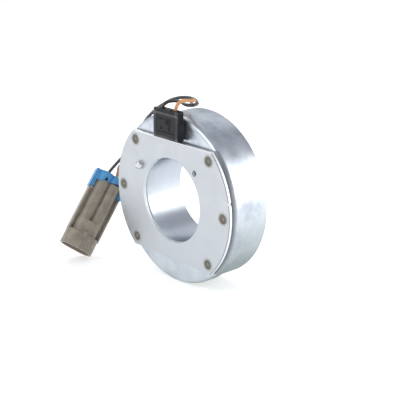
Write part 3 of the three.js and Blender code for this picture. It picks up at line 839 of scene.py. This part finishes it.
def make_plate():
    """The plate is a filled outline with holes and a small round along every edge."""
    curve = bpy.data.curves.new("plate", "CURVE")
    curve.dimensions = "2D"
    curve.fill_mode = "BOTH"
    curve.extrude = (PLATE["thickness"] / 2 - PLATE["bevel"]) * MM
    curve.bevel_depth = PLATE["bevel"] * MM
    curve.bevel_resolution = 3
    curve.offset = -PLATE["bevel"] * MM
    small_holes = [circle(hole["x"], hole["z"], hole["radius"]) for hole in (PLATE_HOLE, PIN_HOLE)]
    bore = circle(0, 0, BORE_RADIUS, 160)
    for outline in (plate_outline(), bore, *weld_holes(), *small_holes):
        add_line(curve, [(x * MM, z * MM, 0) for x, z in outline], closed=True)
    drawn = add_object("plate_drawn", curve)
    bpy.context.view_layer.update()
    evaluated = drawn.evaluated_get(bpy.context.evaluated_depsgraph_get())
    mesh = bpy.data.meshes.new_from_object(evaluated)
    bpy.data.objects.remove(drawn)
    middle = PLATE["thickness"] / 2 * MM
    mesh.transform(Matrix.Translation((0, middle, 0)) @ Matrix.Rotation(math.pi / 2, 4, "X"))
    work = bmesh.new()
    work.from_mesh(mesh)
    bmesh.ops.remove_doubles(work, verts=work.verts, dist=1e-6)
    bmesh.ops.recalc_face_normals(work, faces=work.faces)
    work.to_mesh(mesh)
    work.free()
    plate = add_object("plate", mesh)
    even_flats(plate)
    return settle(plate, ZINC_PLATE, ["mounting_plate"], degrees=None)


def make_welds():
    """Each weld is a shallow crater with a low rim, sunk through the plate into the shell."""
    radius = WELD["radius"]
    root = SHELL["back"] + WELD["root"]
    bowl = [(0, 0.4), (0.7, 0.39), (1.4, 0.33), (2.0, 0.2), (2.5, 0.06)]
    rim = [(2.9, -0.03), (3.3, -0.05), (3.72, -0.01), (radius, 0.34)]
    profile = [*bowl, *rim, (radius, root), (0, root)]
    for number, degrees in enumerate(WELD["angles"], 1):
        x, z = weld_centre(degrees)
        weld = make_object(f"weld_{number}", turned(profile, 48, x, z))
        settle(weld, WELD_STEEL, [f"spot_weld_{number}"], degrees=50)


def make_pin():
    """A domed head that stands on the plate, and a shank through it."""
    head, shank, seat, end = 2.7, 1.6, -0.03, PLATE["thickness"]
    dome = arc(0, -0.69, head, -90, 0, 20)
    profile = [*dome, (head, -0.2), (head - 0.15, seat), (shank, seat), (shank, end), (0, end)]
    pin = make_object("pin", turned(profile, 64, PIN_HOLE["x"], PIN_HOLE["z"]))
    settle(pin, BRIGHT_STEEL, ["locating_pin"], degrees=40)


def make_potting():
    """The resin's surface climbs a little at both walls of the channel."""
    inner, outer, low, high = 29.0, 47.2, 26.5, 28.9
    sag, climb, steps = 0.6, 1.1, 24
    top = []
    for i in range(steps + 1):
        radius = outer + (inner - outer) * i / steps
        wall = min(outer - radius, radius - inner)
        top.append((radius, high - sag * (1 - math.exp(-wall / climb))))
    potting = make_object("potting", turned([(inner, low), (outer, low), *top], 192))
    settle(potting, RESIN, ["potting_resin"], degrees=40)


make_shell()
make_plate()
make_welds()
make_pin()
make_potting()


# ---- terminal block ----


def cross(x, z, reach, half_width, near, far, turn=0):
    """Two crossed bars, turned by an angle in degrees."""
    shapes = []
    for extra in (0, 90):
        angle = math.radians(turn + extra)
        ux, uz = math.cos(angle), math.sin(angle)
        bar = rectangle(0, reach, half_width)
        outline = [(x + a * ux - b * uz, z + a * uz + b * ux) for a, b in bar]
        shapes.append(facing(outline, near, far))
    return shapes


def block_marks():
    """Plain moulded marks on the block's face: dots, bars and crosses."""
    near, far = -3.95, -3.2
    dots = [facing(circle(x, 49.3, 0.55, 16), near, far) for x in (-6.2, -4.5, -2.8)]
    bars = [box(x - 0.3, x + 0.3, near, far, 46.4, 50.2) for x in (0.4, 1.9, 3.4)]
    rail = box(-6.9, 6.9, near, far, 41.6, 41.95)
    crosses = [*cross(-4.6, 44, 1, 0.22, near, far, 45), *cross(2.6, 44.4, 1.4, 0.25, near, far)]
    return [*dots, *bars, rail, *crosses]


def block_ribs():
    """Upright ribs at the top of both sides, and a hook below each row."""
    reach = BLOCK["half_width"]
    root, half, top = reach - 0.7, 0.35, BLOCK["top"] - BLOCK["lid"]
    ribs = []
    for side in (-1, 1):
        for y in (-2.9, -1.6, -0.3, 0.8):
            ribs.append(side_box(side, root, reach, y - half, y + half, 47.5, top))
        ribs.append(side_box(side, root, reach, -0.6, 1.2, 45.4, 47))
    return ribs


def make_block():
    """A hollow box with a sunken face, a boss behind it and ribbed sides."""
    b = BLOCK
    half, front, back = b["half_width"], b["front"], b["back"]
    low, high = b["bottom"], b["top"] - b["lid"]
    middle, half_height = (high + low) / 2, (high - low) / 2
    core = facing(rounded(half - 0.5, half_height, 0.5, (0, middle)), front, back)
    frame_edge = facing(rounded(half, half_height, 0.6, (0, middle)), front, front + 1.1)
    foot = box(-half, half, front, back, low, 47.5)
    boss = facing(rounded(10.2, 5.35, 0.8, (0, 44.15)), back - 0.5, b["boss_back"])
    sunk = rounded(PANEL["half_width"], PANEL["half_height"], 0.4, (0, PANEL["middle"]))
    panel = facing(sunk, front - 1, front + 0.5)
    hollow = box(-9, 9, -2.8, 0.8, 40, b["top"])
    tails = [facing(circle(x, 43, 0.9, 16), 0, 3) for x in (-2.5, 2.5)]
    adds = [core, frame_edge, foot, boss, *block_ribs()]
    block = combine("terminal_block", adds, [panel, hollow, *tails])
    join(block, combine("marks", block_marks()))
    soften(block, voxel=0.12, passes=1, share=0.3)
    return settle(block, BLACK_NYLON, ["terminal_block_body"])


def make_lid():
    """The block's cover: a collar round each lead, a front lip and a row of small hooks."""
    b = BLOCK
    half, front, back, top = b["half_width"], b["front"], b["back"], b["top"]
    low = top - 1.5
    root, reach = low + 0.2, half - 0.6
    plate = prism(rounded(half, (back - front) / 2, 0.4, (0, (back + front) / 2)), low, top - 0.75)
    collars = [prism(circle(x, LEAD_Y, 2.1), root, top) for x in (-LEAD_X, LEAD_X)]
    lip = box(-reach, reach, front + 0.1, front + 0.7, root, top - 0.3)
    hooks = [box(x - 0.8, x + 0.8, front, front + 1.5, root, top) for x in (-9.2, -2.9, 0.4, 3, 9.2)]
    rear_lip = box(-reach, reach, back - 0.7, back - 0.1, root, top - 0.2)
    bridge = box(-3, 3, -1.8, -0.2, root, top - 0.15)
    bored = LEAD_RADIUS + 0.12
    holes = [prism(circle(x, LEAD_Y, bored), low - 1, top + 1) for x in (-LEAD_X, LEAD_X)]
    lid = combine("terminal_lid", [plate, lip, rear_lip, bridge, *collars, *hooks], holes)
    soften(lid, voxel=0.11, passes=1, share=0.35)
    return settle(lid, BLACK_NYLON, ["terminal_block_cover"])


make_block()
make_lid()


# ---- connector, in its own axes ----


def connector_axes():
    """Takes the connector's axes, in metres, to the row frame."""
    rearward = Vector(frame["joints"][0]["axis"]).normalized()
    across = (ACROSS - rearward * ACROSS.dot(rearward)).normalized()
    turn = Matrix((across, rearward.cross(across), rearward)).transposed().to_4x4()
    return Matrix.Translation(MOUTH * MM) @ turn


AXES = connector_axes()


def barrel(side, radius, half_depth, low, high):
    """An upright slot with round ends, about one terminal."""
    x, y = side * PITCH / 2, half_depth - radius
    return prism([*arc(x, y, radius, 0, 180, 24), *arc(x, -y, radius, 180, 360, 24)], low, high)


def barrels(radius, half_depth, low, high):
    return [barrel(side, radius, half_depth, low, high) for side in (-1, 1)]


def make_housing():
    """A long oval mouth, a narrower collar, two round barrels between side rails, and a latch nib."""
    h = HOUSING
    half, depth, wall, shroud = h["half_width"], h["half_depth"], h["wall"], h["shroud"]
    mouth, throat, collar_end, rear = h["mouth"], h["throat"], h["collar_end"], h["rear"]
    rails = [side_box(side, 9.7, half, -3.3, 3.3, shroud - 1, h["rail_end"]) for side in (-1, 1)]
    ribs = [box(x - 0.3, x + 0.3, -depth - 0.5, -wall - 1, 0.3, 9) for x in (-0.15, 1.95)]
    adds = [
        prism(oval(half, depth), 0, shroud),
        prism(oval(*h["collar"]), shroud - 1, collar_end),
        *rails,
        box(-10, 10, -1.5, 1.5, shroud - 1, h["rail_end"] - 0.3),
        box(-8.4, 8.4, -2.6, 2.6, h["rail_end"] - 1, rear),
        *barrels(4.05, 6.2, collar_end - 1, rear),
        box(-1.4, 1.4, -depth - 1.2, -wall - 1, 8, 11.4),
        *ribs,
    ]
    cuts = [
        prism(oval(half - wall, depth - wall), -1, mouth),
        prism(oval(7.4, 5.5), mouth - 1, throat),
    ]
    for x in (-PITCH / 2, PITCH / 2):
        cuts.append(prism(circle(x, 0, 1.9), throat - 1, 42))
        cuts.append(prism(circle(x, 0, 3.3), 41.1, rear + 1))
    housing = combine("connector_shell", adds, cuts)
    soften(housing, voxel=0.17, passes=2, share=0.3)
    housing.data.transform(AXES)
    return settle(housing, GREY_PLASTIC, ["connector_housing"])


def make_lock():
    """A cap with two arms, open for the leads, with a slanted and a stepped notch in both faces."""
    half, depth, low = LOCK["half_width"], LOCK["half_depth"], LOCK["low"]
    plate, top, arm, arm_low = LOCK["plate"], LOCK["top"], LOCK["arm"], LOCK["arm_low"]
    adds = [
        box(-half, half, -depth, depth, low, top),
        *barrels(5.05, 7.2, low, top),
        *[side_box(side, arm, half, -depth, depth, arm_low, plate) for side in (-1, 1)],
    ]
    cuts = [
        box(-8.7, 8.7, -2.9, 2.9, low - 1, plate),
        prism(oval(8.3, 3.9), plate - 1, top + 1),
        *barrels(4.35, 6.5, low - 1, plate),
        *[facing(outline, -10, 10) for outline in LOCK_CUTS],
    ]
    lock = combine("connector_lock", adds, cuts)
    soften(lock, voxel=0.15, passes=3, share=0.35)
    lock.data.transform(AXES)
    return settle(lock, BLUE_PLASTIC, ["secondary_lock"], SLIDER)


def make_contact(number, side):
    """A flat blade with a narrowed tip, on a round shank."""
    x = side * PITCH / 2
    section = rectangle(x, 0.75, 0.4)
    blade = prism(section, 5, 18)
    tip = taper(section, rectangle(x, 0.35, 0.15), 4, 5)
    ends = [(0, 17), (1.2, 17), (1.4, 17.3), (1.4, 39.5), (1.2, 39.7), (0, 39.7)]
    contact = combine(f"contact_{number}", [blade, tip, turned_on_z(ends, 40, x)])
    contact.data.transform(AXES)
    return settle(contact, TINNED, [f"terminal_pin_{number}"], degrees=35)


def make_seal(number, side):
    """A sleeve with rounded ridges."""
    low, high, hole, middle, ridge = 41.4, 47.2, 1.25, 2.82, 0.18
    ridges, steps = 3, 12
    profile = [(hole, low)]
    for i in range(ridges * steps + 1):
        z = low + (high - low) * i / (ridges * steps)
        profile.append((middle - ridge * math.cos(2 * math.pi * i / steps), z))
    profile.append((hole, high))
    seal = make_object(f"seal_{number}", turned_on_z(profile, 48, side * PITCH / 2))
    seal.data.transform(AXES)
    return settle(seal, SEAL_SILICONE, [f"wire_seal_{number}"], degrees=50)


on_leads = [make_housing(), make_lock()]
for number, side in ((1, -1), (2, 1)):
    on_leads.append(make_contact(number, side))
    on_leads.append(make_seal(number, side))


# ---- CAD nodes that stay, inside the shell and the block ----

KEPT = {
    "bobbin": NATURAL_NYLON,
    "winding": COPPER,
    "winding_tape": TAPE,
    "coil_tail_1": COPPER,
    "coil_tail_2": COPPER,
    "window_grommet": GROMMET_RUBBER,
    "splice_sleeve_1": TINNED,
    "splice_sleeve_2": TINNED,
    "suppression_diode": DIODE_EPOXY,
}
for name, material in KEPT.items():
    for holder in frame["nodes"][name].material_slots:
        holder.material = material


# ---- studio ----


def make_world():
    """A plain sky, white at the horizon and grey overhead."""
    sky = (
        (0.0, 1.0),
        (0.12, 1.0),
        (0.3, (0.85, 0.86, 0.88, 1)),
        (0.62, (0.4, 0.41, 0.45, 1)),
        (1.0, (0.5, 0.52, 0.56, 1)),
    )
    world = bpy.data.worlds.new("studio")
    world.use_nodes = True
    nodes, links = world.node_tree.nodes, world.node_tree.links
    split = nodes.new("ShaderNodeSeparateXYZ")
    ramp = nodes.new("ShaderNodeValToRGB")
    links.new(nodes.new("ShaderNodeTexCoord").outputs["Generated"], split.inputs[0])
    links.new(split.outputs["Z"], ramp.inputs["Fac"])
    links.new(ramp.outputs["Color"], nodes["Background"].inputs["Color"])
    set_stops(ramp.color_ramp.elements, sky)
    bpy.context.scene.world = world


def make_floor():
    """A pale floor just under the part, which glows a little so that it stays white."""
    reach = 8.0
    corners = [(x, y, cad_low.z) for x, y in rectangle(0, reach, reach)]
    mesh = bpy.data.meshes.new("floor")
    mesh.from_pydata(corners, [], [(0, 1, 2, 3)])
    floor = add_object("floor", mesh)
    f = Finish("floor", emission_color=(1, 1, 1, 1), emission_strength=0.46)
    cloud = f.noise(6, detail=3.0)
    colour = f.ramp(cloud, (0.0, 0.86), (1.0, 0.9))
    mesh.materials.append(f.finish(base_color=colour, roughness=f.level(cloud, 0, 1, 0.8, 0.9)))


def make_light(name, place, width, height, radiance):
    """A soft panel that faces the part. With a radiance of 1 it looks just white in a mirror."""
    lamp = bpy.data.lights.new(name, "AREA")
    lamp.shape = "RECTANGLE"
    lamp.size, lamp.size_y = width, height
    lamp.energy = radiance * math.pi * width * height
    light = add_object(name, lamp)
    light.location = place
    light.rotation_euler = Vector(place).to_track_quat("Z", "Y").to_euler()
    light.visible_camera = False


make_world()
make_floor()
make_light("side_panel", (0.335, 0.3, 0.14), 0.3, 0.3, 2.2)
make_light("key_panel", (-0.1, -1.0, 0.9), 0.9, 0.7, 1.9)
make_light("top_panel", (-0.68, 0.2, 0.68), 0.4, 0.36, 5.0)
make_light("rear_panel", (-0.46, 0.63, 0.63), 0.5, 0.5, 0.4)
bpy.context.scene.view_settings.view_transform = "Standard"
